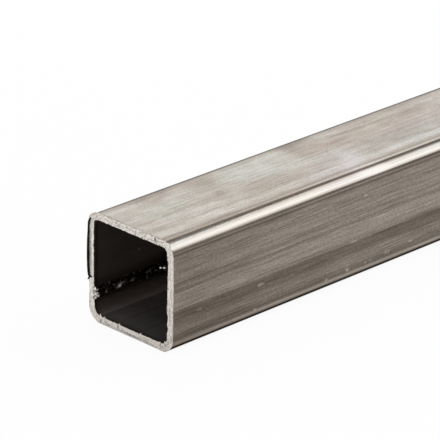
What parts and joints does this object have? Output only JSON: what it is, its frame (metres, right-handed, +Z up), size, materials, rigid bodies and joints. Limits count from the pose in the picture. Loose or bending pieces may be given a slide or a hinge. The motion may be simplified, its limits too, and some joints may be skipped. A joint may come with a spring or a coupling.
{
  "type": "square metal tube",
  "caption": "Straight square steel tube with rounded long corners, open at both ends, with the weld flash left inside one wall.",
  "frame": {"origin": "middle of the tube's length, centre of its width, on the underside that it rests on", "axes": "+X along the tube away from the end that the picture shows, +Z up, +Y towards the wall with the weld seam"},
  "size_m": [0.3048, 0.0254, 0.0254],
  "materials": {
    "mill_finish_steel": "bare cold-rolled steel as it leaves the tube mill, with fine lengthwise roll lines"
  },
  "bodies": {
    "root": {"square_tube": "mill_finish_steel"}
  },
  "joints": []
}
